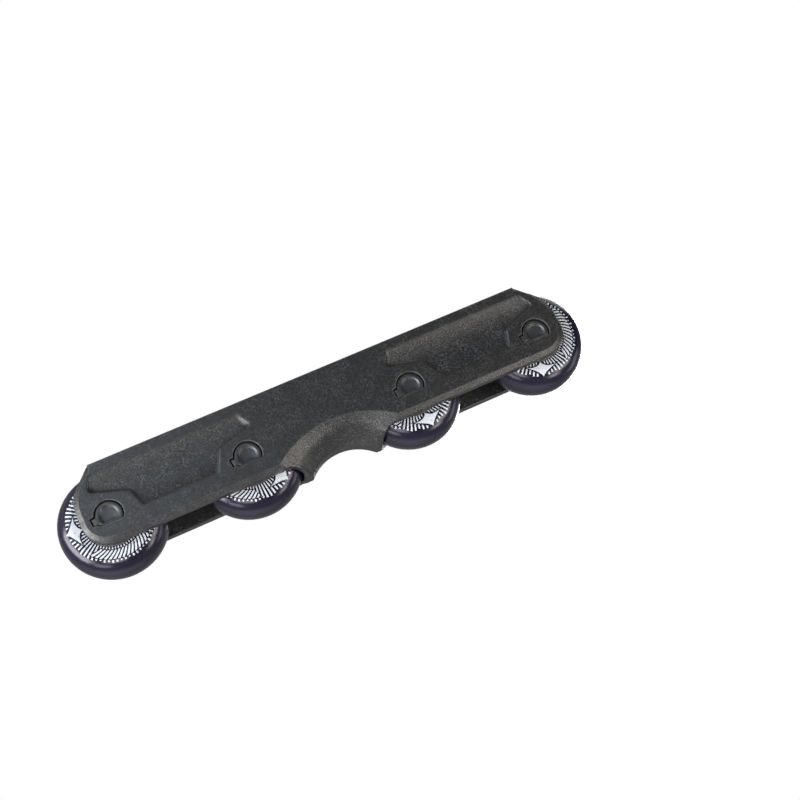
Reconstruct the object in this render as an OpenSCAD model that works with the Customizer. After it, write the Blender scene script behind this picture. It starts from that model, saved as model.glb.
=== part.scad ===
// Inline skate frame with a grind groove, four wheels and keyed through axles.
// X runs along the frame, Y across it and Z up. The wheels stand on Z = 0.

/* [Wheels] */
// Wheel diameter over the tread
wheel_d = 58; // [54:0.5:60]
// Wheel width over the hub faces
wheel_w = 24; // [23:0.5:28]
// Radius of the tread's crown, seen along the frame
crown_r = 20; // [14:0.5:30]
// Radius of the tyre's shoulders
shoulder_r = 8; // [5:0.5:10]
// Depth of the sidewall's dish where it meets the core
sidewall_dish = 0.6; // [0.2:0.1:1.2]
// Diameter of the hub core under the tyre
core_d = 30; // [28:0.5:36]
// Height of the rib that locks the tyre to the core
rib_h = 2.5; // [1:0.25:3.5]
// Width of that rib
rib_w = 8; // [4:0.5:12]
// Width of the flat ring around the bearing on the hub's face
hub_lip = 1.8; // [1:0.1:2.4]

/* [Wheelbase] */
// Distance from an end axle to the axle next to it
outer_pitch = 77; // [74:0.5:86]
// Distance between the two middle axles
middle_pitch = 95; // [90:0.5:110]

/* [Frame] */
// Thickness of each side wall
wall_t = 6; // [5:0.25:8]
// Gap between a wheel's side and the wall
side_gap = 1.25; // [0.8:0.05:2]
// Height of the deck over the wheel tops
deck_gap = 0.4; // [0.3:0.1:3]
// Drop of the walls' lower edge below the axles
edge_drop = 14.7; // [13:0.1:17]
// How far the round ends are centred beyond the end axles
end_shift = 0.7; // [0:0.1:2]
// Radius of the upper curve of each end
end_r = 27.5; // [26:0.5:34]
// Height of that curve's centre over the axles
end_rise = 5.5; // [5:0.25:7]
// Height of the bevel along the walls' outer lower edge
bevel_h = 2.8; // [1.5:0.1:4]
// Width of that bevel
bevel_w = 1.7; // [1:0.1:2.5]
// Gap around each wheel in its well
well_gap = 1.3; // [0.8:0.1:2]

/* [Panels] */
// Depth of the scooped side panels
panel_depth = 2.5; // [1:0.1:3]
// Distance from the deck down to the panels' upper edge
panel_border = 5.4; // [4:0.1:8]
// Drop of the panels' lower edge below the axles
panel_drop = 3; // [1:0.25:6]
// How far each panel's corner passes the inner axle
panel_in_end = 8.2; // [4:0.1:10]
// How far each panel's corner passes the outer axle
panel_out_end = 5.9; // [4:0.1:8]
// How far each panel's upper edge passes the inner axle
panel_in_top = 2.4; // [0:0.1:4]
// How far each panel's upper edge passes the outer axle
panel_out_top = 0.6; // [0:0.1:3]
// Height of the panels' end corners over the axles
panel_end_h = 15.2; // [13:0.1:18]
// Slope of the panels' inner end walls, across for each unit of depth
panel_in_slope = 0.9; // [0.2:0.1:1.5]
// Slope of their outer end walls
panel_out_slope = 0.2; // [0.1:0.1:1.5]
// Distance from an inner axle to its boss's shoulder in the panel
boss_in_reach = 12.4; // [11:0.1:14]
// Height of that shoulder over the axle
boss_in_h = 9.2; // [8:0.1:11]
// Distance from an outer axle to its boss's shoulder in the panel
boss_out_reach = 14.4; // [12:0.1:16]
// Height of that shoulder over the axle
boss_out_h = 8; // [7:0.1:10]
// Distance from an axle to the foot of its boss
boss_foot = 18.6; // [17:0.1:20]
// Radius of the panels' corners
panel_corner_r = 2; // [0.5:0.1:2.5]

/* [Grind groove] */
// Radius of the arch along the frame's middle
groove_r = 25.5; // [23:0.5:28]
// Distance from the axles down to the arch's top
groove_top = 12.2; // [10:0.1:14]
// Width of the arch before it flares
groove_w = 10; // [6:0.5:16]
// Radius of the flare's curve on the walls
flare_r = 56; // [50:0.5:64]
// Distance from the axles down to the top of that curve
flare_top = 0; // [-2:0.1:3]
// Width of the flare's steeper outer lip
lip_w = 3.9; // [3:0.1:5]
// Radius of the curve where the lip begins
lip_r = 35; // [33:0.5:42]
// Distance from the axles down to the top of that curve
lip_top = 6.1; // [5:0.1:7]
// Drop of the block's feet below the axles
foot_drop = 20.5; // [19:0.25:22]
// Length of the block along the frame
block_l = 65; // [60:0.5:68]
// Radius of the corner between each foot and the walls' lower edge
corner_r = 12; // [10:0.5:14]
// How far that corner's curve rises above the walls' lower edge
corner_lift = 0.3; // [0.2:0.05:0.6]

/* [Boot mount] */
// Distance between the two boot bolts
mount_pitch = 165; // [160:0.5:170]
// Diameter of each bolt hole
mount_hole_d = 6.6; // [5:0.1:8.5]
// Diameter of the recess for each bolt's head, below the deck
bolt_seat_d = 12; // [10:0.1:14]
// Thickness of the deck above each recess
bolt_deck_t = 5; // [3:0.25:7]
// Height of the deck bridges
bridge_h = 10; // [8:0.25:12]
// Length of the deck bridges along the frame
bridge_l = 46; // [40:0.5:52]
// Length of each hollow in the block's deck
core_out_l = 11; // [6:0.5:12]
// Width of each hollow in the block's deck
core_out_w = 9; // [6:0.5:10]
// Thickness of the cross of ribs between those hollows
core_rib_t = 3; // [2:0.25:5]
// Depth of those hollows
core_out_depth = 30; // [10:0.5:34]

/* [Axles] */
// Axle diameter
axle_d = 8; // [7:0.1:8]
// Diameter of the axle's blank head
head_d = 14.7; // [12:0.1:15.5]
// Thickness of that head, and of the screw's head
head_h = 2.5; // [2:0.1:3]
// How far the heads sit below the wall's face
head_sink = 0.7; // [0.3:0.1:1]
// Gap around the heads in their pockets
head_gap = 0.4; // [0.2:0.05:0.6]
// Distance from the axle's centre down to the flat on its head
head_flat = 3.8; // [3.7:0.1:5.5]
// Diameter of the shallow dish in the head
dish_d = 10.6; // [6:0.1:11]
// Width of the rim between the dish and the flat
dish_rim = 0.6; // [0.4:0.1:1]
// Depth of that dish
dish_depth = 0.9; // [0.2:0.1:1.2]
// Width of the key that stops the axle from turning
key_w = 4; // [3:0.1:5]
// Distance from the axle's centre to the key's end
key_reach = 9.5; // [8.6:0.1:10]
// Slope of the key below the frame's length
key_tilt = 5; // [0:1:20]
// Diameter of the thread in the axle
thread_d = 6; // [5:0.1:6]
// Length of the screw's thread
thread_l = 12; // [8:0.5:14]
// Diameter of the screw's head
screw_head_d = 12.6; // [10:0.1:14]
// Width of the screw's hexagon socket
hex_w = 4; // [3:0.5:6]
// Depth of that socket
hex_depth = 1.8; // [1:0.1:1.9]

/* [Bearings] */
// Outer diameter of each bearing
bearing_d = 22; // [21.8:0.1:22.5]
// Width of each bearing
bearing_w = 7; // [6.5:0.1:7.5]
// Ball diameter, as a share of the room between the axle and the bearing's outside
ball_share = 0.567; // [0.5:0.001:0.6]
// Number of balls in each bearing
ball_count = 7; // [5:1:8]
// Depth of the races in the rings
race_depth = 0.55; // [0.4:0.05:0.65]
// Thickness of each shield
shield_t = 0.4; // [0.3:0.05:0.5]
// How far the shields sit inside the bearing's face
shield_sink = 0.3; // [0.2:0.05:0.5]
// Thickness of the ball cage
cage_t = 0.5; // [0.4:0.05:0.7]
// Outer diameter of the spacer between the inner rings
spacer_d = 11.6; // [10:0.1:11.8]

/* [Fits] */
// Gap between bonded or pressed pieces
press_gap = 0.02; // [0.01:0.01:0.05]
// Gap around the axles in the bearings, spacers and walls
axle_gap = 0.05; // [0.02:0.01:0.1]
// Gap between the balls and what holds them
ball_gap = 0.06; // [0.03:0.01:0.1]
// Gap between the shields and the inner rings
shield_gap = 0.25; // [0.15:0.05:0.4]

/* [Hidden] */
WHEELS = ["rear", "third", "second", "front"];
WHEEL_PIECES = ["tyre", "core", "outer_rings", "inner_rings", "balls", "cages", "shields", "spacer",
                "axle", "axle_screw"];
$fn = 96;

frame_colour = "#2a2b2e";
tyre_colour = "#1e1a2c";
core_colour = "#34343a";
steel_colour = "#b9bcc2";
cage_colour = "#9b9ea4";
axle_colour = "#303134";

// Overshoot of a cutting tool beyond the face that it cuts
over = 1;
// Thickness of the thin discs that a flare is stretched between
thin = 0.01;
// Straight steps in the curves of a tyre's shoulders and crown
shoulder_steps = 14;
crown_steps = 12;

wheel_r = wheel_d / 2;
hub_half = wheel_w / 2;
shoulder_y = hub_half - shoulder_r;
crown_angle = asin(shoulder_y / (crown_r - shoulder_r));
shoulder_x = wheel_r - crown_r + (crown_r - shoulder_r) * cos(crown_angle);
core_r = core_d / 2;
bearing_r = bearing_d / 2;
ball_d = ball_share * (bearing_d - axle_d) / 2;
ball_r = ball_d / 2;
ball_circle_d = (bearing_d + axle_d) / 2;
axle_r = axle_d / 2;
inner_half = middle_pitch / 2;
outer_half = inner_half + outer_pitch;
axle_x = [-outer_half, -inner_half, inner_half, outer_half];
wall_in = hub_half + side_gap;
wall_out = wall_in + wall_t;
deck_z = wheel_r + deck_gap;
end_x = outer_half + end_shift;
well_r = wheel_r + well_gap;
well_half = hub_half + well_gap;
foot_half = wall_out - bevel_w;
pocket_depth = head_h + head_sink;
seat_y = wall_out - pocket_depth;
stop_half = hub_half - bearing_w;
bearing_y = hub_half - bearing_w / 2;
race_r = ball_r + ball_gap;
inner_land_r = ball_circle_d / 2 - race_r + race_depth;
outer_land_r = ball_circle_d / 2 + race_r - race_depth;
shield_seat_r = (outer_land_r + bearing_r) / 2;
bridge_x = inner_half + outer_pitch / 2;
panel_top = deck_z - panel_border;
panel_in_upper = [inner_half - panel_in_top, panel_top + over];
panel_in_lower = [inner_half - panel_in_end, panel_end_h];
panel_out_lower = [outer_half + panel_out_end, panel_end_h];
panel_out_upper = [outer_half + panel_out_top, panel_top + over];

// Points along an arc, from angle a0 to angle a1
function arc(cx, cy, r, a0, a1, n) =
    [for (i = [0 : n]) let (a = a0 + (a1 - a0) * i / n) [cx + r * cos(a), cy + r * sin(a)]];

// A tyre's rounded outline in radius and width, grown by a gap
function tread(gap) =
    let (upper = arc(shoulder_x, shoulder_y, shoulder_r + gap, 90, crown_angle, shoulder_steps),
         crown = arc(wheel_r - crown_r, 0, crown_r + gap, crown_angle, -crown_angle, crown_steps),
         lower = arc(shoulder_x, -shoulder_y, shoulder_r + gap, -crown_angle, -90, shoulder_steps))
    concat(upper, [for (i = [1 : len(crown) - 2]) crown[i]], lower);

// A plate drawn in X and Z, from y0 to y1
module upright(y0, y1) {
    translate([0, y1, 0])
        rotate([90, 0, 0])
            linear_extrude(y1 - y0)
                children();
}

// A profile drawn in Y and Z, run along X from x0 to x1
module along_x(x0, x1) {
    translate([x0, 0, 0])
        rotate([90, 0, 90])
            linear_extrude(x1 - x0)
                children();
}

// A round bar along Y, from radius r0 at y0 to radius r1 at y1
module bar(y0, y1, r0, r1) {
    translate([0, y0, 0])
        rotate([-90, 0, 0])
            cylinder(r1 = r0, r2 = r1, h = y1 - y0);
}

// A profile drawn in radius and width, turned about Y
module turned() {
    rotate([-90, 0, 0])
        rotate_extrude()
            children();
}

module both_sides() {
    children();
    mirror([0, 1, 0]) children();
}

module both_ends() {
    children();
    mirror([1, 0, 0]) children();
}

// The round stretch at one end of a wall, bevelled on its outer face
module end_disc(r) {
    bar(wall_in, wall_out - bevel_w, r, r);
    bar(wall_out - bevel_w, wall_out, r, r - bevel_h);
}

// One end of a side wall: a round lobe below, a wide curve and a slanted corner above
module wall_end() {
    translate([end_x, 0, 0])
        end_disc(edge_drop);
    intersection() {
        translate([end_x + edge_drop - end_r, 0, end_rise])
            end_disc(end_r);
        upright(wall_in, wall_out)
            polygon([[end_x, 0], [end_x + deck_z, 0], [end_x, deck_z]]);
    }
}

// One side wall without its panels and holes
module wall_blank() {
    along_x(-end_x, end_x)
        polygon([[wall_in, -edge_drop], [wall_out - bevel_w, -edge_drop], [wall_out, bevel_h - edge_drop],
                 [wall_out, deck_z], [wall_in, deck_z]]);
    both_ends() wall_end();
}

// Outline of one scooped panel, between two axle bosses
module panel_outline() {
    offset(r = panel_corner_r)
        offset(r = -2 * panel_corner_r)
            offset(r = panel_corner_r)
                polygon([panel_in_upper, panel_in_lower,
                         [inner_half + boss_in_reach, boss_in_h],
                         [inner_half + boss_foot, -panel_drop - over],
                         [outer_half - boss_foot, -panel_drop - over],
                         [outer_half - boss_out_reach, boss_out_h],
                         panel_out_lower, panel_out_upper]);
}

// The sloping end wall of a panel, along its edge from p to q, with the panel on the right
module end_slope(p, q, slope) {
    edge = q - p;
    depth = panel_depth + over;
    translate([p[0], 0, p[1]])
        rotate([0, -atan2(edge[1], edge[0]), 0])
            along_x(-panel_depth, norm(edge) + panel_depth)
                polygon([[wall_out, 0], [wall_out - depth, -slope * depth], [wall_out - depth, depth],
                         [wall_out, depth]]);
}

// A panel's floor is a wide round scoop that runs out to nothing above and below
module panel_cutter() {
    chord = panel_top + panel_drop;
    scoop_r = (chord * chord / 4 + panel_depth * panel_depth) / (2 * panel_depth);
    difference() {
        intersection() {
            upright(wall_out - panel_depth - over, wall_out + over)
                panel_outline();
            translate([0, wall_out - panel_depth + scoop_r, (panel_top - panel_drop) / 2])
                rotate([0, 90, 0])
                    cylinder(r = scoop_r, h = end_x + edge_drop);
        }
        end_slope(panel_in_lower, panel_in_upper, panel_in_slope);
        end_slope(panel_out_upper, panel_out_lower, panel_out_slope);
    }
}

// A thin disc of the flare, with its top a given distance below the axles
module flare_disc(y, r, top, t) {
    translate([0, 0, -top - r])
        bar(y, y + t, r, r);
}

// The groove under the block: an arch that flares in two steps towards each wall
module groove_cutter() {
    translate([0, 0, -groove_top - groove_r])
        bar(-wall_out - over, wall_out + over, groove_r, groove_r);
    both_sides() {
        hull() {
            flare_disc(groove_w / 2, groove_r, groove_top, thin);
            flare_disc(wall_out - lip_w, lip_r, lip_top, thin);
        }
        hull() {
            flare_disc(wall_out - lip_w, lip_r, lip_top, thin);
            flare_disc(wall_out, flare_r, flare_top, over);
        }
    }
}

// A box given by its lowest and highest corners
module box(low, high) {
    translate(low) cube(high - low);
}

// The feet below the walls, with a round corner beside each wheel
module feet() {
    difference() {
        box([-block_l / 2, -foot_half, -foot_drop], [block_l / 2, foot_half, over - edge_drop]);
        for (x = [-block_l / 2, block_l / 2])
            translate([x, 0, corner_lift - edge_drop - corner_r])
                bar(-foot_half - over, foot_half + over, corner_r, corner_r);
    }
}

// A well that follows the tyre's rounded outline
module well() {
    turned()
        polygon(concat([[0, well_half]], tread(well_gap), [[0, -well_half]]));
}

// The grooved block between the middle wheels, with its hollowed deck
module block() {
    difference() {
        union() {
            box([-block_l / 2, -wall_in, -edge_drop], [block_l / 2, wall_in, deck_z]);
            feet();
        }
        for (x = [-inner_half, inner_half])
            translate([x, 0, 0])
                well();
        both_ends() both_sides()
            box([core_rib_t / 2, core_rib_t / 2, deck_z - core_out_depth],
                [core_rib_t / 2 + core_out_l, core_rib_t / 2 + core_out_w, deck_z + over]);
    }
}

// A boot deck between an end wheel and its neighbour
module bridge() {
    difference() {
        box([bridge_x - bridge_l / 2, -wall_in, deck_z - bridge_h],
            [bridge_x + bridge_l / 2, wall_in, deck_z]);
        for (x = [inner_half, outer_half])
            translate([x, 0, 0])
                bar(-wall_in - over, wall_in + over, well_r, well_r);
    }
}

// A boot bolt's hole and the recess for its head, open below
module mount_cutter() {
    translate([mount_pitch / 2, 0, deck_z - bridge_h - over]) {
        cylinder(d = mount_hole_d, h = bridge_h + 2 * over);
        cylinder(d = bolt_seat_d, h = bridge_h + over - bolt_deck_t);
    }
}

// Cuts away all that lies more than a drop below the axle
module flat_cutter(drop) {
    box([-head_d, -wall_out - 2 * over, -head_d], [head_d, wall_out, -drop]);
}

// An axle's head, with a flat and a key, grown by a gap on every side
module head(y0, y1, gap) {
    difference() {
        bar(y0, y1, head_d / 2 + gap, head_d / 2 + gap);
        flat_cutter(head_flat + gap);
    }
    rotate([0, -key_tilt, 0])
        box([-key_reach - gap, y0, -key_w / 2 - gap], [0, y1, key_w / 2 + gap]);
}

// The holes of one axle: a keyed pocket in the near wall and a round one in the far wall
module axle_cutter() {
    bar(-wall_out - over, wall_out + over, axle_r + axle_gap, axle_r + axle_gap);
    head(-wall_out - over, -seat_y, head_gap);
    bar(seat_y, wall_out + over, screw_head_d / 2 + head_gap, screw_head_d / 2 + head_gap);
}

module frame_body() {
    color(frame_colour)
        difference() {
            union() {
                both_sides() wall_blank();
                block();
                both_ends() bridge();
                for (x = axle_x)
                    translate([x, 0, 0])
                        both_sides() bar(hub_half, wall_in, inner_land_r, inner_land_r);
            }
            both_ends() both_sides() panel_cutter();
            groove_cutter();
            both_ends() mount_cutter();
            for (x = axle_x)
                translate([x, 0, 0])
                    axle_cutter();
        }
}

// A rounded tread on a solid tyre, cast around the core's rib
module tyre() {
    bond_r = core_r + press_gap;
    groove_half = rib_w / 2 + press_gap;
    flank = hub_half - sidewall_dish;
    color(tyre_colour)
        turned()
            polygon(concat(tread(0),
                           [[bond_r, -flank], [bond_r, -groove_half], [bond_r + rib_h, -groove_half],
                            [bond_r + rib_h, groove_half], [bond_r, groove_half], [bond_r, flank]]));
}

// The hub: a rim with a locking rib outside, and two bearing seats inside with a stop between them
module core() {
    seat_r = bearing_r + press_gap;
    lip_end_r = seat_r + hub_lip;
    flank = hub_half - sidewall_dish;
    half = [[core_r, rib_w / 2], [core_r, flank], [lip_end_r, hub_half], [seat_r, hub_half],
            [seat_r, stop_half], [outer_land_r, stop_half]];
    rib = [[core_r + rib_h, -rib_w / 2], [core_r + rib_h, rib_w / 2]];
    mirrored = [for (i = [len(half) - 1 : -1 : 0]) [half[i][0], -half[i][1]]];
    color(core_colour)
        turned()
            polygon(concat(rib, half, mirrored));
}

// The two bearings of a wheel
module bearings() {
    for (y = [-bearing_y, bearing_y])
        translate([0, y, 0])
            children();
}

module outer_rings() {
    shield_step = shield_sink + shield_t;
    color(steel_colour)
        bearings()
            turned()
                difference() {
                    translate([outer_land_r, -bearing_w / 2])
                        square([bearing_r - outer_land_r, bearing_w]);
                    translate([ball_circle_d / 2, 0])
                        circle(r = race_r);
                    for (side = [-1, 1])
                        translate([outer_land_r - over,
                                   side * (bearing_w / 2 - shield_step / 2) - shield_step / 2])
                            square([shield_seat_r - outer_land_r + over, shield_step]);
                }
}

module inner_rings() {
    color(steel_colour)
        bearings()
            turned()
                difference() {
                    translate([axle_r + axle_gap, -bearing_w / 2])
                        square([inner_land_r - axle_r - axle_gap, bearing_w]);
                    translate([ball_circle_d / 2, 0])
                        circle(r = race_r);
                }
}

// Places a ball, or its pocket, at each step around a bearing
module around_bearing() {
    for (i = [0 : ball_count - 1])
        rotate([0, i * 360 / ball_count, 0])
            children();
}

module balls() {
    color(steel_colour)
        bearings()
            around_bearing()
                translate([ball_circle_d / 2, 0, 0])
                    sphere(r = ball_r);
}

// A thin band with a round pocket for each ball
module cages() {
    band_half = bearing_w / 2 - shield_sink - shield_t - shield_gap;
    color(cage_colour)
        bearings()
            difference() {
                turned()
                    translate([ball_circle_d / 2 - cage_t / 2, -band_half])
                        square([cage_t, 2 * band_half]);
                around_bearing()
                    translate([ball_circle_d / 2 - ball_r, 0, 0])
                        rotate([0, 90, 0])
                            cylinder(r = race_r, h = ball_d);
            }
}

module shields() {
    color(steel_colour)
        bearings()
            turned()
                for (side = [-1, 1])
                    translate([inner_land_r + shield_gap,
                               side * (bearing_w / 2 - shield_sink - shield_t / 2) - shield_t / 2])
                        square([shield_seat_r - press_gap - inner_land_r - shield_gap, shield_t]);
}

module spacer() {
    color(steel_colour)
        difference() {
            bar(-stop_half, stop_half, spacer_d / 2, spacer_d / 2);
            bar(-stop_half - over, stop_half + over, axle_r + axle_gap, axle_r + axle_gap);
        }
}

// A blank head with a flat, a key and a dish, on a shank that is threaded at its far end
module axle() {
    face_y = -wall_out + head_sink;
    color(axle_colour)
        difference() {
            union() {
                head(face_y, -seat_y, 0);
                bar(-seat_y, seat_y, axle_r, axle_r);
            }
            difference() {
                union() {
                    bar(face_y - over, face_y, dish_d / 2, dish_d / 2);
                    bar(face_y, face_y + dish_depth, dish_d / 2, dish_d / 2 - dish_depth);
                }
                flat_cutter(head_flat - dish_rim);
            }
            bar(seat_y - thread_l - over, seat_y + over, thread_d / 2, thread_d / 2);
        }
}

module axle_screw() {
    color(axle_colour)
        difference() {
            union() {
                bar(seat_y - thread_l, seat_y, thread_d / 2 - axle_gap, thread_d / 2 - axle_gap);
                bar(seat_y, seat_y + head_h, screw_head_d / 2, screw_head_d / 2);
            }
            translate([0, seat_y + head_h - hex_depth, 0])
                rotate([-90, 0, 0])
                    cylinder(d = hex_w / cos(30), h = hex_depth + over, $fn = 6);
        }
}

// The piece of a wheel that has this name
module wheel_piece(name) {
    if (name == "tyre") tyre();
    if (name == "core") core();
    if (name == "outer_rings") outer_rings();
    if (name == "inner_rings") inner_rings();
    if (name == "balls") balls();
    if (name == "cages") cages();
    if (name == "shields") shields();
    if (name == "spacer") spacer();
    if (name == "axle") axle();
    if (name == "axle_screw") axle_screw();
}

translate([0, 0, wheel_r])
        frame_body();
for (i = [0 : len(WHEELS) - 1])
    for (name = WHEEL_PIECES)
        translate([axle_x[i], 0, wheel_r])
                wheel_piece(name);
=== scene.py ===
"""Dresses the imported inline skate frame: nylon body, cast wheels, coated axles and steel bearings.

Lengths are in metres, in the CAD model's frame: X along the part, Y across it, Z up from the floor.
"""

import math

import bmesh
import bpy
import numpy as np
from mathutils import Matrix, Vector


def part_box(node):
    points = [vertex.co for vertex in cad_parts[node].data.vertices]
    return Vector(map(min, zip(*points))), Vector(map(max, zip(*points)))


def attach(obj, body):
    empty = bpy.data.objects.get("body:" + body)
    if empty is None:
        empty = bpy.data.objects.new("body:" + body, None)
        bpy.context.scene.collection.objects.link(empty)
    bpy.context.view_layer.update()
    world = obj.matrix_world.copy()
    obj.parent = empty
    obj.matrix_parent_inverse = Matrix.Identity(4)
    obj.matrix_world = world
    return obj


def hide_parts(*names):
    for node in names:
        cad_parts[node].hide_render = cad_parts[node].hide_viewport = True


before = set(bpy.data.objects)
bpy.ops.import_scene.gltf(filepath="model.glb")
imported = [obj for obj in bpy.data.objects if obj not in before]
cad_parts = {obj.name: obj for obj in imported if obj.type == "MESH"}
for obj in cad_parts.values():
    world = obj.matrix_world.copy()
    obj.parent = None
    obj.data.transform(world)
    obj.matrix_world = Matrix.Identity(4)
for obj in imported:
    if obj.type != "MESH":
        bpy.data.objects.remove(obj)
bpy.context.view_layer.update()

MM = 0.001
TINY = 1e-6
TURN = 2 * math.pi
WHEELS = ("rear", "third", "second", "front")
# How far each wheel's print stands turned, in degrees
PRINT_TURNS = (178, 128, 97, 76)

# Wheel sizes
WHEEL_R = 29 * MM
HUB_HALF = 12 * MM
CROWN_R = 20 * MM
SHOULDER_R = 8 * MM
CORE_R = 15 * MM
RIB_H = 2.5 * MM
RIB_HALF = 4 * MM
FLANK = 11.4 * MM
BOND_GAP = 0.02 * MM
SEAT_R = 11.02 * MM
LIP_R = 12.82 * MM
STOP_HALF = 5 * MM
STOP_R = 8.99 * MM
TYRE_RIM = 0.35 * MM
CORE_RIM = 0.3 * MM
WHEEL_STEPS = 176
SHOULDER_STEPS = 18
CROWN_STEPS = 14

# Axle and screw sizes
HEAD_R = 7.35 * MM
HEAD_FACE = 18.55 * MM
HEAD_BACK = 16.05 * MM
HEAD_FLAT = 3.8 * MM
# How much wider the gap around the head's round part is than the solid's
HEAD_PLAY = 0.22 * MM
# How much closer than the solid's it is along the flat and below the key
HEAD_REACH = 0.25 * MM
DISH_R = 5.3 * MM
DISH_DEPTH = 0.9 * MM
DISH_RIM = 0.6 * MM
DISH_EASE = 0.3 * MM
KEY_HALF = 2 * MM
KEY_REACH = 9.5 * MM
KEY_ANGLE = math.radians(185)
KEY_ZONE = math.radians(24)
SHANK_R = 4 * MM
NECK = 0.4 * MM
CHAMFER = 0.3 * MM
BORE_R = 3 * MM
BORE_SPARE = 1 * MM
THREAD_R = 2.95 * MM
THREAD_L = 12 * MM
THREAD_TIP = 0.5 * MM
SCREW_R = 6.3 * MM
HEX_APOTHEM = 2 * MM
HEX_DEPTH = 1.8 * MM
# The smallest ring, which a flat end is closed with
END_R = 0.4 * MM
AXLE_STEPS = 160
SCREW_STEPS = 168
KEY_STEPS = 64

# Moulded body
WALL_FACE = 19.25 * MM
BODY_VOXEL = 0.3 * MM
BODY_SMOOTHING = 2
BODY_KEEP = 0.12
MERGE_GAP = 0.001 * MM

# Where the groove's flare and the panels are eased: points are held at the first value of each
# pair and free from the second
FLARE_PASSES = 320
FLARE_ENDS = (25 * MM, 21 * MM)
FLARE_ARCH = (3.5 * MM, 6.5 * MM)
FLARE_WALL = (18.9 * MM, 18 * MM)
FLARE_LOW = 6 * MM
PANEL_PASSES = 22
PANEL_BACK = (15.8 * MM, 16.2 * MM)
PANEL_FOOT = (23 * MM, 24.5 * MM)
PANEL_TOP = (55.8 * MM, 54.8 * MM)
# These two count from the inner axle inward and from the outer axle outward
PANEL_INWARD = (12 * MM, 11 * MM)
PANEL_OUTWARD = (8 * MM, 7 * MM)
BOSS_R = (10.4 * MM, 11.4 * MM)


class Graph:
    """Short calls for the nodes of one material or world."""

    def __init__(self, owner):
        owner.use_nodes = True
        self.owner = owner
        self.nodes = owner.node_tree.nodes
        self.links = owner.node_tree.links
        self.shader = self.nodes.get("Principled BSDF")

    def put(self, value, socket):
        """Link an output to a socket, or set a plain value on it."""
        if isinstance(value, bpy.types.NodeSocket):
            self.links.new(value, socket)
        else:
            socket.default_value = value

    def fill(self, node, values):
        """Link or set a node's first sockets in order."""
        for value, socket in zip(values, node.inputs):
            self.put(value, socket)

    def set(self, **values):
        """Link or set the shader's sockets, with underscores for the spaces in their names."""
        for name, value in values.items():
            self.put(value, self.shader.inputs[name.replace("_", " ")])

    def place(self, stretch=(1, 1, 1)):
        """The object's own coordinates, stretched by a factor along each axis."""
        node = self.nodes.new("ShaderNodeMapping")
        node.inputs["Scale"].default_value = [1 / s for s in stretch]
        own = self.nodes.new("ShaderNodeTexCoord").outputs["Object"]
        self.links.new(own, node.inputs["Vector"])
        return node.outputs["Vector"]

    def axis(self, place, number):
        """One of the three values of a place."""
        node = self.nodes.new("ShaderNodeSeparateXYZ")
        self.put(place, node.inputs[0])
        return node.outputs[number]

    def noise(self, place, size, detail, roughness=0.5):
        """Noise from 0 to 1 with features of about one size."""
        node = self.nodes.new("ShaderNodeTexNoise")
        self.put(place, node.inputs["Vector"])
        node.inputs["Scale"].default_value = 1 / size
        node.inputs["Detail"].default_value = detail
        node.inputs["Roughness"].default_value = roughness
        return node.outputs[0]

    def openness(self, reach, inside=False):
        """How free the space over the surface is of its own walls within a reach.

        With inside set it is the space under the surface, which is less filled along an edge.
        """
        node = self.nodes.new("ShaderNodeAmbientOcclusion")
        node.only_local = True
        node.inside = inside
        node.inputs["Distance"].default_value = reach
        return node.outputs["AO"]

    def attribute(self, name):
        """A number that the mesh's points carry."""
        node = self.nodes.new("ShaderNodeAttribute")
        node.attribute_name = name
        return node.outputs["Fac"]

    def math(self, operation, *values):
        """A number from other numbers."""
        node = self.nodes.new("ShaderNodeMath")
        node.operation = operation
        self.fill(node, values)
        return node.outputs[0]

    def vector(self, operation, *values):
        """A number from one or two vectors."""
        node = self.nodes.new("ShaderNodeVectorMath")
        node.operation = operation
        self.fill(node, values)
        return node.outputs["Value"]

    def remap(self, value, low, high, to_low=0.0, to_high=1.0):
        """A smooth step from to_low at low to to_high at high."""
        node = self.nodes.new("ShaderNodeMapRange")
        node.interpolation_type = "SMOOTHSTEP"
        self.fill(node, (value, low, high, to_low, to_high))
        return node.outputs[0]

    def under(self, value, low, high):
        """1 below low, and 0 above high."""
        return self.remap(value, low, high, 1.0, 0.0)

    def mix(self, share, first, second):
        """A colour between two others."""
        node = self.nodes.new("ShaderNodeMix")
        node.data_type = "RGBA"
        factor, first_socket, second_socket = node.inputs[0], node.inputs[6], node.inputs[7]
        self.put(share, factor)
        self.put(first, first_socket)
        self.put(second, second_socket)
        return node.outputs[2]

    def blend(self, share, first, second):
        """A shader between two others."""
        node = self.nodes.new("ShaderNodeMixShader")
        self.fill(node, (share, first, second))
        return node.outputs[0]

    def bump(self, height, depth, over=None):
        """A bump of a real depth, over another one where given."""
        node = self.nodes.new("ShaderNodeBump")
        node.inputs["Distance"].default_value = depth
        self.put(height, node.inputs["Height"])
        if over is not None:
            self.put(over, node.inputs["Normal"])
        return node.outputs["Normal"]


def material_graph(name):
    """The nodes of a new material."""
    return Graph(bpy.data.materials.new(name))


def grey(level, tint=(1.0, 1.0, 1.0)):
    """A colour from a level and a tint."""
    return (level * tint[0], level * tint[1], level * tint[2], 1.0)


# Materials

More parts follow.
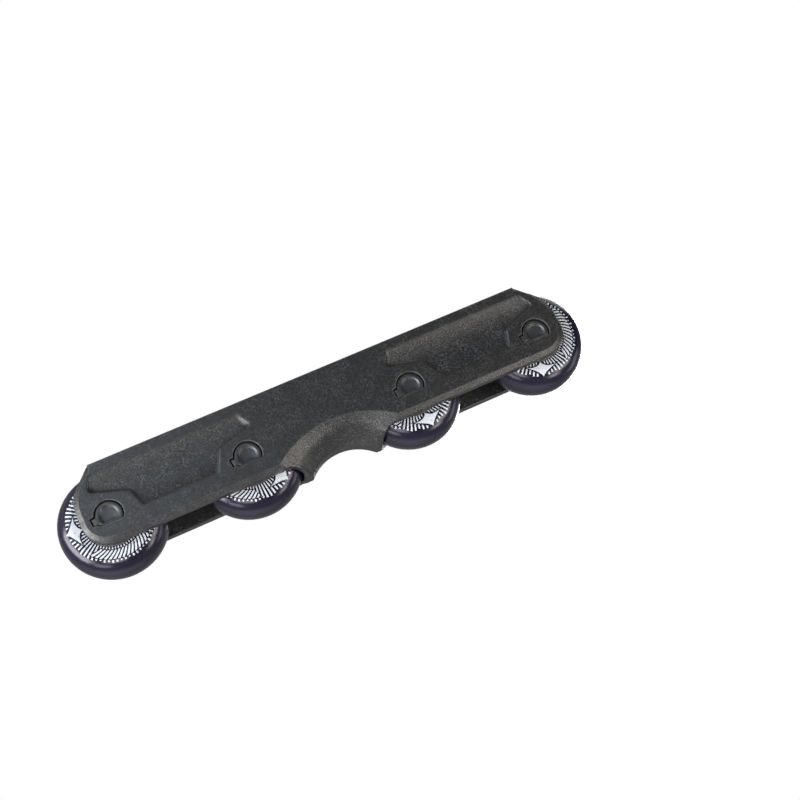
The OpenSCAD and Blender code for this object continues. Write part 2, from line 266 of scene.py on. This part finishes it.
def nylon(name, dark, light, fleck):
    """Moulded fibre-filled nylon: cloudy and grainy, with painted shade in its creases, and lighter
    along its edges from wear and a painted highlight.
    """
    # The lighter grey of the edges, partly rubbed wear and partly a painted highlight
    wear_and_highlight_colour = grey(0.1)
    # The near-black that the painted shade in creases and recesses goes toward
    painted_shade_colour = grey(0.002)
    g = material_graph(name)
    place = g.place()
    cloud = g.noise(place, size=15 * MM, detail=3)
    patch = g.noise(place, size=7 * MM, detail=3)
    mottle = g.noise(place, size=2.2 * MM, detail=4, roughness=0.6)
    grain = g.noise(place, size=0.9 * MM, detail=3, roughness=0.6)
    middle = g.mix(g.remap(cloud, 0.3, 0.7, 0.2, 0.7), dark, light)
    mottled = g.mix(g.remap(mottle, 0.35, 0.65, 0.0, 0.6), middle, light)
    # The grain is stronger below the outer face, as in the panels
    outward = g.math("ABSOLUTE", g.axis(place, 1))
    sunk = g.remap(outward, WALL_FACE - 0.2 * MM, WALL_FACE - 0.7 * MM)
    coarse = g.math("MULTIPLY_ADD", sunk, 0.8, 0.9)
    strength = g.math("MULTIPLY", g.remap(patch, 0.35, 0.65, 0.3, 1.0), coarse)
    pitted = g.mix(g.math("MULTIPLY", g.remap(grain, 0.52, 0.3), strength), mottled, dark)
    speckled = g.mix(g.math("MULTIPLY", g.remap(grain, 0.45, 0.72), strength), pitted, fleck)
    # Convex edges are lightened, partly as rubbing wear and partly as a painted highlight along them
    rubbing = g.remap(mottle, 0.3, 0.6, 0.15, 0.45)
    ridge = g.remap(g.openness(0.6 * MM, inside=True), 0.995, 0.9)
    worn_and_highlit = g.mix(g.math("MULTIPLY", ridge, rubbing), speckled, wear_and_highlight_colour)
    # Painted shade: where the walls close in within 4 mm, creases and recesses darken toward
    # near-black, and the same mask roughens them
    painted_crease_shade = g.remap(g.openness(4 * MM), 0.985, 0.73)
    fine_bump = g.bump(g.math("MULTIPLY", grain, coarse), 0.09 * MM)
    g.set(Base_Color=g.mix(g.math("MULTIPLY", painted_crease_shade, 0.94), worn_and_highlit, painted_shade_colour),
          Roughness=g.math("MAXIMUM", g.remap(mottle, 0.3, 0.7, 0.45, 0.35), painted_crease_shade),
          Specular_IOR_Level=0.68,
          Normal=g.bump(mottle, 0.05 * MM, fine_bump))
    return g.owner


def print_mask(g, place):
    """White print on a wheel's side: a ring of ticks, crossed by hatched bands and diamonds."""
    edge = 0.1 * MM
    tick_count = 66
    tick_from, tick_to, tick_spread = 15 * MM, 23.7 * MM, 1 * MM
    # The bands and diamonds follow each other along the middle of the ring
    middle_r = 19.4 * MM
    repeats = 2
    arc_length = TURN * middle_r / repeats
    band_half, band_half_height, band_lean = 14.6 * MM, 2.5 * MM, 0.6
    clear_half, clear_half_height = 15 * MM, 3 * MM
    bar_pitch, bar_lean = 2.1 * MM, 0.7
    # A power below 1 draws the diamonds' sides in
    diamond_half, diamond_half_height, diamond_power = 9 * MM, 4.8 * MM, 0.62

    x = g.axis(place, 0)
    z = g.axis(place, 2)
    radius = g.math("SQRT", g.math("ADD", g.math("MULTIPLY", x, x), g.math("MULTIPLY", z, z)))
    angle = g.math("DIVIDE", g.math("ARCTAN2", z, x), TURN)
    turn = g.math("FRACT", g.math("ADD", angle, g.attribute("print_turn")))

    def from_middle(value):
        """How far a value's fraction is from a half."""
        return g.math("ABSOLUTE", g.math("SUBTRACT", g.math("FRACT", value), 0.5))

    ticks = g.math("MULTIPLY", turn, tick_count)
    chance = g.nodes.new("ShaderNodeTexWhiteNoise")
    chance.noise_dimensions = "1D"
    g.put(g.math("FLOOR", ticks), chance.inputs["W"])
    stroke = g.under(from_middle(ticks), 0.17, 0.24)
    shortened = g.math("MULTIPLY", chance.outputs["Value"], tick_spread)
    past_end = g.math("SUBTRACT", radius, g.math("SUBTRACT", tick_to, shortened))
    outer = g.under(past_end, -edge, edge)
    inner = g.remap(radius, tick_from, tick_from + 2 * edge)
    tick = g.math("MULTIPLY", g.math("MULTIPLY", stroke, outer), inner)

    part = g.math("SUBTRACT", g.math("FRACT", g.math("MULTIPLY", turn, repeats)), 0.5)
    across = g.math("MULTIPLY", part, arc_length)
    aside = g.math("ABSOLUTE", across)
    rise = g.math("SUBTRACT", radius, middle_r)
    height = g.math("ABSOLUTE", rise)

    def band(half, half_height):
        """A band along the ring, with leaning ends."""
        reach = g.math("SUBTRACT", aside, g.math("MULTIPLY", rise, band_lean))
        return g.math("MULTIPLY", g.under(reach, half - edge, half),
                      g.under(height, half_height - edge, half_height))

    slanted = g.math("ADD", across, g.math("MULTIPLY", rise, bar_lean))
    hatch = g.under(from_middle(g.math("DIVIDE", slanted, bar_pitch)), 0.24, 0.3)
    bars = g.math("MULTIPLY", band(band_half, band_half_height), hatch)
    clear = band(clear_half, clear_half_height)

    from_tip = g.math("MAXIMUM", g.math("SUBTRACT", arc_length / 2, aside), 0.0)
    wide = g.math("POWER", g.math("DIVIDE", from_tip, diamond_half), diamond_power)
    high = g.math("POWER", g.math("DIVIDE", height, diamond_half_height), diamond_power)
    spread = g.math("ADD", wide, high)
    diamond = g.under(spread, 0.97, 1.03)
    bare = g.math("MAXIMUM", clear, g.under(spread, 1.17, 1.23))

    shown_tick = g.math("MULTIPLY", tick, g.math("SUBTRACT", 1.0, bare))
    ink = g.math("MAXIMUM", shown_tick, g.math("MAXIMUM", bars, diamond))
    wear = g.remap(g.noise(place, size=0.9 * MM, detail=4, roughness=0.7), 0.3, 0.42)
    return g.math("MULTIPLY", ink, wear)


def urethane():
    """Cast polyurethane, nearly black with a violet cast, with white print on its sides."""
    deep_violet = (0.005, 0.004, 0.013, 1)
    violet = (0.009, 0.007, 0.022, 1)
    dust = (0.022, 0.02, 0.036, 1)
    white_ink = (0.6, 0.63, 0.67, 1)
    g = material_graph("urethane")
    place = g.place()
    cloud = g.noise(place, size=8 * MM, detail=3)
    scuff = g.noise(place, size=0.8 * MM, detail=4, roughness=0.65)
    ink = print_mask(g, place)
    cast = g.mix(g.remap(cloud, 0.3, 0.7), deep_violet, violet)
    dusty = g.mix(g.remap(scuff, 0.62, 0.8, 0.0, 0.3), cast, dust)
    g.set(Base_Color=g.mix(ink, dusty, white_ink),
          Roughness=g.remap(scuff, 0.35, 0.75, 0.19, 0.27),
          Specular_IOR_Level=0.5,
          Specular_Tint=(0.93, 0.92, 1.0, 1.0),
          Normal=g.bump(ink, 0.02 * MM, g.bump(scuff, 0.004 * MM)))
    return g.owner


def coated_steel():
    """Black coated steel with a fine grain, its coat rubbed at its rims."""
    dark_coat = (0.021, 0.022, 0.025, 1)
    pale_coat = (0.036, 0.038, 0.042, 1)
    bare_steel = (0.16, 0.16, 0.165, 1)
    g = material_graph("coated_steel")
    place = g.place()
    grain = g.noise(place, size=0.5 * MM, detail=4, roughness=0.6)
    cloud = g.noise(place, size=4 * MM, detail=3)
    coat = g.mix(g.remap(cloud, 0.3, 0.7), dark_coat, pale_coat)
    ridge = g.remap(g.openness(0.4 * MM, inside=True), 0.95, 0.75)
    rubbed = g.math("MULTIPLY", ridge, g.remap(grain, 0.35, 0.65, 0.0, 0.4))
    g.set(Base_Color=g.mix(rubbed, coat, bare_steel),
          Metallic=0.35,
          Specular_IOR_Level=0.85,
          Roughness=g.remap(grain, 0.3, 0.7, 0.3, 0.44),
          Normal=g.bump(grain, 0.02 * MM))
    return g.owner


def bare_metal(name, dark, light, rough):
    """Ground or turned metal with fine marks."""
    g = material_graph(name)
    fine = g.noise(g.place(stretch=(1, 0.08, 1)), size=0.35 * MM, detail=4, roughness=0.6)
    cloud = g.noise(g.place(), size=3 * MM, detail=3)
    g.set(Base_Color=g.mix(g.remap(cloud, 0.3, 0.7), dark, light),
          Metallic=1.0,
          Roughness=g.remap(fine, 0.3, 0.7, rough, rough + 0.16),
          Normal=g.bump(fine, 0.008 * MM))
    return g.owner


# Mesh helpers

def fillet(points, radii, steps=4):
    """A closed outline with some of its corners rounded."""
    longest = 0.45
    made = []
    count = len(points)
    for i, radius in enumerate(radii):
        corner = Vector(points[i])
        if radius == 0:
            made.append(corner)
            continue
        before = Vector(points[i - 1]) - corner
        after = Vector(points[(i + 1) % count]) - corner
        start = corner + before.normalized() * min(radius, before.length * longest)
        end = corner + after.normalized() * min(radius, after.length * longest)
        for k in range(steps + 1):
            t = k / steps
            made.append(start * (1 - t) ** 2 + corner * 2 * t * (1 - t) + end * t ** 2)
    return made


def arc(cx, cy, radius, start, end, steps):
    """Points along an arc, from one angle to another, in radians."""
    turns = [start + (end - start) * i / steps for i in range(steps + 1)]
    return [(cx + radius * math.cos(a), cy + radius * math.sin(a)) for a in turns]


def full_turn(steps):
    """Angles around a full turn, in even steps."""
    return np.arange(steps) * 2 * math.pi / steps


def ring(radii, y, angles):
    """Points around the Y axis."""
    across = np.full(len(angles), y)
    return np.stack([radii * np.cos(angles), across, radii * np.sin(angles)], axis=1)


def skin(name, rings, closed):
    """A mesh through rings of points: joined last to first where closed, else with flat ends."""
    count = len(rings[0])
    faces = []
    for i in range(len(rings) if closed else len(rings) - 1):
        a = i * count
        b = (i + 1) % len(rings) * count
        for j in range(count):
            k = (j + 1) % count
            faces.append((a + j, a + k, b + k, b + j))
    if not closed:
        last = (len(rings) - 1) * count
        faces.append(tuple(range(count)))
        faces.append(tuple(range(last, last + count)))
    mesh = bpy.data.meshes.new(name)
    mesh.from_pydata(np.concatenate(rings).tolist(), [], faces)
    bm = bmesh.new()
    bm.from_mesh(mesh)
    bmesh.ops.recalc_face_normals(bm, faces=bm.faces)
    bm.to_mesh(mesh)
    bm.free()
    mesh.shade_smooth()
    return mesh


def turned(name, outline):
    """A closed outline of radius and width, turned about Y."""
    angles = full_turn(WHEEL_STEPS)
    return skin(name, [ring(p[0], p[1], angles) for p in outline], True)


def mesh_links(mesh):
    """The mesh's points, and the numbers of the two points of each of its edges."""
    points = np.empty(len(mesh.vertices) * 3)
    mesh.vertices.foreach_get("co", points)
    pairs = np.empty(len(mesh.edges) * 2, np.int64)
    mesh.edges.foreach_get("vertices", pairs)
    return points.reshape(-1, 3), pairs.reshape(-1, 2)


def ramp(values, low, high):
    """0 at low, 1 at high and straight between them."""
    return np.clip((values - low) / (high - low), 0, 1)


def flare_share(points):
    """How freely each point of the groove's flare moves, between the walls and the arch."""
    x, y, z = np.abs(points).T
    share = ramp(x, *FLARE_ENDS) * ramp(y, *FLARE_ARCH) * ramp(y, *FLARE_WALL)
    return share * (z < WHEEL_R) * (z > FLARE_LOW)


def panel_share(points):
    """How freely each point of the side panels moves, clear of the axles and the walls' edges."""
    x, y, z = np.abs(points).T
    inner, outer = [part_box(wheel + "_tyre")[1][0] - WHEEL_R for wheel in ("second", "front")]
    share = ramp(y, *PANEL_BACK) * ramp(z, *PANEL_FOOT) * ramp(z, *PANEL_TOP)
    share *= (ramp(x, *[inner - inward for inward in PANEL_INWARD])
              * ramp(x, *[outer + outward for outward in PANEL_OUTWARD]))
    for axle_x in (inner, outer):
        share *= ramp(np.hypot(x - axle_x, z - WHEEL_R), *BOSS_R)
    return share


def ease(points, pairs, share, passes):
    """Draw points toward the middle of their neighbours, each as far as its share lets it."""
    moving = share > 0
    pairs = pairs[moving[pairs].any(1)]
    used, numbers = np.unique(pairs, return_inverse=True)
    count = len(used)
    a, b = numbers.reshape(-1, 2).T
    valence = np.bincount(a, minlength=count) + np.bincount(b, minlength=count)
    part = points[used]
    weight = share[used, None] / 2

    def neighbour_sum(values):
        """The sum of each point's neighbours, along one axis."""
        return np.bincount(a, values[b], count) + np.bincount(b, values[a], count)

    for _ in range(passes):
        sums = np.stack([neighbour_sum(values) for values in part.T], axis=1)
        part += weight * (sums / valence[:, None] - part)
    points[used] = part


def ease_forms(mesh):
    """Round off the step within the groove's flare, and the panels' creases."""
    points, pairs = mesh_links(mesh)
    ease(points, pairs, flare_share(points), FLARE_PASSES)
    ease(points, pairs, panel_share(points), PANEL_PASSES)
    mesh.vertices.foreach_set("co", points.ravel())
    mesh.update()


def add_object(name, data):
    """A new object in the scene."""
    obj = bpy.data.objects.new(name, data)
    bpy.context.scene.collection.objects.link(obj)
    return obj


def finished(obj):
    """The mesh that an object's modifiers make."""
    bpy.context.view_layer.update()
    shown = obj.evaluated_get(bpy.context.evaluated_depsgraph_get())
    return bpy.data.meshes.new_from_object(shown)


def softened(node):
    """A copy of a CAD node with its sharp edges slightly rounded, as moulding leaves them."""
    bm = bmesh.new()
    bm.from_mesh(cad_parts[node].data)
    bmesh.ops.remove_doubles(bm, verts=bm.verts, dist=MERGE_GAP)
    mesh = bpy.data.meshes.new(node + "_merged")
    bm.to_mesh(mesh)
    bm.free()
    obj = add_object(node + "_work", mesh)
    remesh = obj.modifiers.new("remesh", "REMESH")
    remesh.mode = "VOXEL"
    remesh.voxel_size = BODY_VOXEL
    smooth = obj.modifiers.new("smooth", "SMOOTH")
    smooth.factor = 0.5
    smooth.iterations = BODY_SMOOTHING
    dense = finished(obj)
    ease_forms(dense)
    obj.modifiers.clear()
    obj.data = dense
    decimate = obj.modifiers.new("decimate", "DECIMATE")
    decimate.ratio = BODY_KEEP
    light = finished(obj)
    bpy.data.objects.remove(obj)
    light.shade_smooth()
    return light


def paint(mesh, material):
    """Give a mesh one material."""
    mesh.materials.clear()
    mesh.materials.append(material)


def add_piece(name, mesh, material, body, nodes, centre=(0, 0, 0)):
    """A piece that rides on a body and stands for CAD nodes."""
    obj = add_object(name, mesh)
    obj.location = centre
    paint(mesh, material)
    weighted = obj.modifiers.new("weighted", "WEIGHTED_NORMAL")
    weighted.keep_sharp = True
    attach(obj, body)
    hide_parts(*nodes)


# Wheel pieces

def tyre_mesh():
    """A rounded tread on a solid tyre, with softened inner rims."""
    shoulder_y = HUB_HALF - SHOULDER_R
    lean = math.asin(shoulder_y / (CROWN_R - SHOULDER_R))
    shoulder_x = WHEEL_R - CROWN_R + (CROWN_R - SHOULDER_R) * math.cos(lean)
    quarter = math.pi / 2
    upper = arc(shoulder_x, shoulder_y, SHOULDER_R, quarter, lean, SHOULDER_STEPS)
    crown = arc(WHEEL_R - CROWN_R, 0, CROWN_R, lean, -lean, CROWN_STEPS)[1:-1]
    lower = arc(shoulder_x, -shoulder_y, SHOULDER_R, -lean, -quarter, SHOULDER_STEPS)
    bond = CORE_R + BOND_GAP
    groove = RIB_HALF + BOND_GAP
    inner = [(bond, -FLANK), (bond, -groove), (bond + RIB_H, -groove),
             (bond + RIB_H, groove), (bond, groove), (bond, FLANK)]
    outline = upper + crown + lower + inner
    radii = [0] * (len(outline) - len(inner)) + [TYRE_RIM, 0, 0, 0, 0, TYRE_RIM]
    return turned("tyre", fillet(outline, radii))


def printed(mesh, turn):
    """A copy of the tyre with its print turned by some degrees."""
    copy = mesh.copy()
    attribute = copy.attributes.new("print_turn", "FLOAT", "POINT")
    share = 0.5 - turn / 360
    attribute.data.foreach_set("value", np.full(len(copy.vertices), share, np.float32))
    return copy


def core_mesh():
    """The hub's rim with its locking rib and bearing seats."""
    half = [(CORE_R, RIB_HALF), (CORE_R, FLANK), (LIP_R, HUB_HALF), (SEAT_R, HUB_HALF),
            (SEAT_R, STOP_HALF), (STOP_R, STOP_HALF)]
    half_radii = [0, CORE_RIM, CORE_RIM, CORE_RIM, 0, CORE_RIM]
    outline = [(CORE_R + RIB_H, -RIB_HALF), (CORE_R + RIB_H, RIB_HALF)]
    outline += half
    outline += [(r, -y) for r, y in reversed(half)]
    radii = [CORE_RIM, CORE_RIM] + half_radii + half_radii[::-1]
    return turned("core", fillet(outline, radii))


def head_edge(angles, inset):
    """Distance from the axle's centre to its head's edge: round, with a flat and a key.

    The inset draws the edge in. Along the flat and below the key it stays closer to the wall.
    """
    closer = HEAD_PLAY + HEAD_REACH - inset
    below = np.maximum(-np.sin(angles), TINY)
    rounded = np.minimum(HEAD_R - inset, (HEAD_FLAT + closer) / below)
    past_key = (angles - KEY_ANGLE + math.pi) % TURN - math.pi
    near = np.minimum(np.abs(past_key), math.pi / 3)
    tip = (KEY_REACH - inset) / np.cos(near)
    half = KEY_HALF + np.where(past_key > 0, closer, -inset)
    side = half / np.maximum(np.sin(near), TINY)
    return np.maximum(rounded, np.minimum(tip, side))


def dish_edge(angles, radius):
    """Distance from the centre to a ring of the head's dish, which stops short of the flat."""
    draw_in = 0.3
    flat = HEAD_FLAT - DISH_RIM - (DISH_R - radius) * draw_in
    return np.minimum(radius, flat / np.maximum(-np.sin(angles), TINY))


def axle_mesh():
    """A blank keyed head with a flat and a dish, on a plain shank."""
    around = full_turn(AXLE_STEPS)
    by_key = KEY_ANGLE + np.linspace(-KEY_ZONE, KEY_ZONE, KEY_STEPS)
    flat_angle = math.asin(HEAD_FLAT / HEAD_R)
    corners = [math.pi + flat_angle, TURN - flat_angle]
    angles = np.unique(np.round(np.concatenate([around, by_key, corners]) % TURN, 6))
    floor_r = DISH_R - DISH_DEPTH
    # Radius and depth below the face
    dish = [(floor_r - DISH_EASE, DISH_DEPTH), (floor_r, DISH_DEPTH - 0.06 * MM),
            (floor_r + DISH_EASE, DISH_DEPTH - DISH_EASE), (DISH_R - 0.12 * MM, 0.13 * MM),
            (DISH_R, 0.04 * MM), (DISH_R + 0.15 * MM, 0)]
    # Inset from the edge and depth below the face
    rim = [(0.75 * MM, 0), (0.5 * MM, 0.06 * MM), (0.33 * MM, 0.2 * MM), (0.24 * MM, 0.4 * MM),
           (HEAD_PLAY, 0.6 * MM), (HEAD_PLAY, HEAD_FACE - HEAD_BACK)]
    # Radius and place along the axle
    bore_end = HEAD_BACK - THREAD_L - BORE_SPARE
    shank = [(SHANK_R - NECK, -HEAD_BACK), (SHANK_R - NECK, -HEAD_BACK + 0.1 * MM),
             (SHANK_R, -HEAD_BACK + 0.2 * MM), (SHANK_R, HEAD_BACK - CHAMFER),
             (SHANK_R - CHAMFER, HEAD_BACK), (BORE_R, HEAD_BACK), (BORE_R, bore_end),
             (END_R, bore_end)]
    rings = [ring(END_R, -HEAD_FACE + DISH_DEPTH, angles)]
    rings += [ring(dish_edge(angles, r), -HEAD_FACE + depth, angles) for r, depth in dish]
    rings += [ring(head_edge(angles, inset), -HEAD_FACE + depth, angles) for inset, depth in rim]
    rings += [ring(r, y, angles) for r, y in shank]
    return skin("axle", rings, False)


def screw_mesh():
    """A low round head with a hexagon socket, on a plain shank for the thread."""
    angles = full_turn(SCREW_STEPS)
    sixth = math.pi / 3
    hexagon = 1 / np.cos(angles % sixth - sixth / 2)
    # Distance out from the socket's sides, and depth below the face
    socket = [(-0.1 * MM, HEX_DEPTH), (0, HEX_DEPTH - 0.1 * MM), (0, 0.35 * MM),
              (0.1 * MM, 0.12 * MM), (0.3 * MM, 0)]
    # Radius and place along the axle
    tip = HEAD_BACK - THREAD_L
    outside = [(SCREW_R - 0.8 * MM, HEAD_FACE), (SCREW_R - 0.4 * MM, HEAD_FACE - 0.1 * MM),
               (SCREW_R - 0.12 * MM, HEAD_FACE - 0.35 * MM), (SCREW_R, HEAD_FACE - 0.8 * MM),
               (SCREW_R, HEAD_BACK), (THREAD_R, HEAD_BACK), (THREAD_R, tip + THREAD_TIP),
               (THREAD_R - THREAD_TIP, tip)]
    rings = [ring(END_R, HEAD_FACE - HEX_DEPTH, angles)]
    rings += [ring((HEX_APOTHEM + grow) * hexagon, HEAD_FACE - depth, angles)
              for grow, depth in socket]
    rings += [ring(r, y, angles) for r, y in outside]
    return skin("screw", rings, False)


body_tint = (0.98, 1.0, 1.05)
nylon_body = nylon("frame_nylon", dark=grey(0.0034, body_tint), light=grey(0.0112, body_tint),
                   fleck=grey(0.05, body_tint))
nylon_core = nylon("core_nylon", dark=grey(0.008), light=grey(0.018), fleck=grey(0.05))
urethane_cast = urethane()
coated = coated_steel()
ground_steel = bare_metal("bearing_steel", dark=(0.5, 0.51, 0.53, 1),
                          light=(0.64, 0.65, 0.67, 1), rough=0.2)
pressed_steel = bare_metal("pressed_steel", dark=(0.4, 0.4, 0.42, 1),
                           light=(0.55, 0.55, 0.57, 1), rough=0.3)
turned_aluminium = bare_metal("turned_aluminium", dark=(0.62, 0.62, 0.64, 1),
                              light=(0.74, 0.74, 0.76, 1), rough=0.28)

# CAD nodes in each wheel that keep their shape, with their materials
KEPT_NODES = {
    "outer_rings": ground_steel,
    "inner_rings": ground_steel,
    "balls": ground_steel,
    "cages": pressed_steel,
    "shields": pressed_steel,
    "spacer": turned_aluminium,
}

body = softened("frame_body")
add_piece("moulded_body", body, nylon_body, "frame", ["frame_body"])

tyre = tyre_mesh()
core = core_mesh()
axle = axle_mesh()
screw = screw_mesh()
for wheel, turn in zip(WHEELS, PRINT_TURNS):
    low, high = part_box(wheel + "_tyre")
    centre = (low + high) / 2
    turning = wheel + "_wheel"
    add_piece(wheel + "_cast_tyre", printed(tyre, turn), urethane_cast, turning,
              [wheel + "_tyre"], centre)
    add_piece(wheel + "_hub_core", core, nylon_core, turning,
              [wheel + "_core"], centre)
    add_piece(wheel + "_keyed_axle", axle, coated, "frame",
              [wheel + "_axle"], centre)
    add_piece(wheel + "_screw", screw, coated, "frame",
              [wheel + "_axle_screw"], centre)
    for part_name, material in KEPT_NODES.items():
        paint(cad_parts[wheel + "_" + part_name].data, material)


# Stage

# The directions of the photograph's studio, in which the frame leans back on its side
STUDIO_UP = Vector((0.26, -0.72, 0.64)).normalized()
STUDIO_RIGHT = Vector((0.897, -0.064, -0.437)).normalized()
STUDIO_NEAR = Vector((-0.356, -0.692, -0.630)).normalized()

COOL_LIGHT = (0.76, 0.88, 1.0)
WARM_LIGHT = (1.0, 0.94, 0.86)
WHITE_LIGHT = (1.0, 1.0, 1.0)

FLOOR_HALF = 3.0
FLOOR_DROP = 0.05 * MM
FLOOR_FADE = (0.25, 1.0)

FOCAL_LENGTH = 60.09
SENSOR_WIDTH = 36
CAMERA_PLACE = Vector((-0.114926, -0.682822, -0.194661))
CAMERA_RIGHT = Vector((0.89735, -0.06400, -0.43665))
CAMERA_UP = Vector((0.38562, -0.36746, 0.84633))
CAMERA_BACK = Vector((-0.21462, -0.92784, -0.30506))


def white_world():
    """A white background, and for light and reflections a dim room over a pale sweep."""
    room, left_wall, sweep, underside = 0.1, 0.7, 0.4, 0.3
    world = bpy.data.worlds.new("studio")
    bpy.context.scene.world = world
    g = Graph(world)
    toward = g.nodes.new("ShaderNodeTexCoord").outputs["Generated"]
    height = g.vector("DOT_PRODUCT", toward, STUDIO_UP)
    near = g.vector("DOT_PRODUCT", toward, STUDIO_NEAR)
    right = g.vector("DOT_PRODUCT", toward, STUDIO_RIGHT)
    sky = g.remap(right, -0.9, -0.45, left_wall, room)
    ground = g.remap(near, -0.3, 0.4, underside, sweep)
    dome = g.remap(height, -0.25, 0.35, ground, sky)
    # The ground in front is white where it is mirrored, as it is where it is seen
    low = g.under(height, -0.95, -0.6)
    front = g.remap(near, -0.3, 0.4)
    path = g.nodes.new("ShaderNodeLightPath").outputs
    mirrored = g.math("MULTIPLY", path["Is Glossy Ray"], g.math("MULTIPLY", low, front))
    through = g.math("MAXIMUM", path["Is Camera Ray"], path["Is Transmission Ray"])
    seen = g.nodes.new("ShaderNodeMix")
    factor, first_socket, second_socket = seen.inputs[0], seen.inputs[2], seen.inputs[3]
    g.put(g.math("MAXIMUM", mirrored, through), factor)
    g.put(dome, first_socket)
    g.put(1.0, second_socket)
    background = g.nodes["Background"]
    background.inputs["Color"].default_value = (1, 1, 1, 1)
    g.put(seen.outputs[0], background.inputs["Strength"])


def pale_floor():
    """A pale floor that fades into the white background.

    It is clear from below, where the photograph's camera is.
    """
    half = FLOOR_HALF
    mesh = bpy.data.meshes.new("floor")
    corners = [(-half, -half, 0), (half, -half, 0), (half, half, 0), (-half, half, 0)]
    mesh.from_pydata(corners, [], [(0, 1, 2, 3)])
    floor = add_object("floor", mesh)
    floor.location.z = -FLOOR_DROP
    g = material_graph("floor")
    g.set(Base_Color=grey(0.5), Roughness=0.9, Emission_Color=grey(1.0), Emission_Strength=0.45)
    away = g.remap(g.vector("LENGTH", g.place()), *FLOOR_FADE)
    white = g.nodes.new("ShaderNodeEmission").outputs[0]
    clear = g.nodes.new("ShaderNodeBsdfTransparent").outputs[0]
    below = g.nodes.new("ShaderNodeNewGeometry").outputs["Backfacing"]
    faded = g.blend(away, g.shader.outputs[0], white)
    g.put(g.blend(below, faded, clear), g.nodes["Material Output"].inputs["Surface"])
    paint(mesh, g.owner)
    floor.visible_diffuse = False
    floor.visible_glossy = False
    floor.visible_shadow = False


def softbox(name, place, size, power, tint=WHITE_LIGHT, roll=0):
    """An area lamp that faces the frame, placed right, up and near in the photograph's studio."""
    aim = Vector((0, 0, WHEEL_R))
    right, up, near = place
    offset = STUDIO_RIGHT * right + STUDIO_UP * up + STUDIO_NEAR * near
    back = offset.normalized()
    side = STUDIO_UP.cross(back).normalized()
    lamp = bpy.data.lights.new(name, "AREA")
    lamp.shape = "RECTANGLE"
    lamp.size, lamp.size_y = size
    lamp.energy = power
    lamp.color = tint
    obj = add_object(name, lamp)
    turn = Matrix((side, back.cross(side), back)).transposed()
    rolled = turn @ Matrix.Rotation(math.radians(roll), 3, "Z")
    obj.matrix_world = Matrix.Translation(aim + offset) @ rolled.to_4x4()
    obj.visible_camera = False


def camera():
    """The photograph's view: low, in front, and rolled with the leaning frame."""
    lens = bpy.data.cameras.new("camera")
    lens.sensor_fit = "HORIZONTAL"
    lens.sensor_width = SENSOR_WIDTH
    lens.lens = FOCAL_LENGTH
    lens.clip_start = 0.01
    obj = add_object("camera", lens)
    turn = Matrix((CAMERA_RIGHT, CAMERA_UP, CAMERA_BACK)).transposed()
    obj.matrix_world = Matrix.Translation(CAMERA_PLACE) @ turn.to_4x4()
    bpy.context.scene.camera = obj


white_world()
pale_floor()
softbox("overhead_left", (-0.46, 0.8, 0.45), (0.7, 0.5), 2.9, COOL_LIGHT)
softbox("right_front", (0.75, 0.52, 0.52), (0.45, 0.45), 4.1, WARM_LIGHT)
softbox("right_near", (0.48, 0.06, 0.4), (0.14, 0.18), 0.65, WARM_LIGHT)
softbox("left_strip", (-0.86, 0.1, 0.68), (0.9, 0.55), 17, roll=-27)
softbox("front_fill", (-0.06, 0.3, 0.95), (0.35, 0.4), 2.3)
softbox("low_front", (-0.32, -0.26, 0.92), (0.35, 0.35), 1.4)
softbox("right_strip", (1.0, -0.05, 0.0), (0.3, 0.6), 1.0)
softbox("behind", (0.1, 0.6, -0.9), (1.3, 0.9), 5.0)
softbox("far_side", (0.25, -0.3, -0.9), (0.6, 0.45), 7.5)
camera()

view = bpy.context.scene.view_settings
view.view_transform = "Standard"
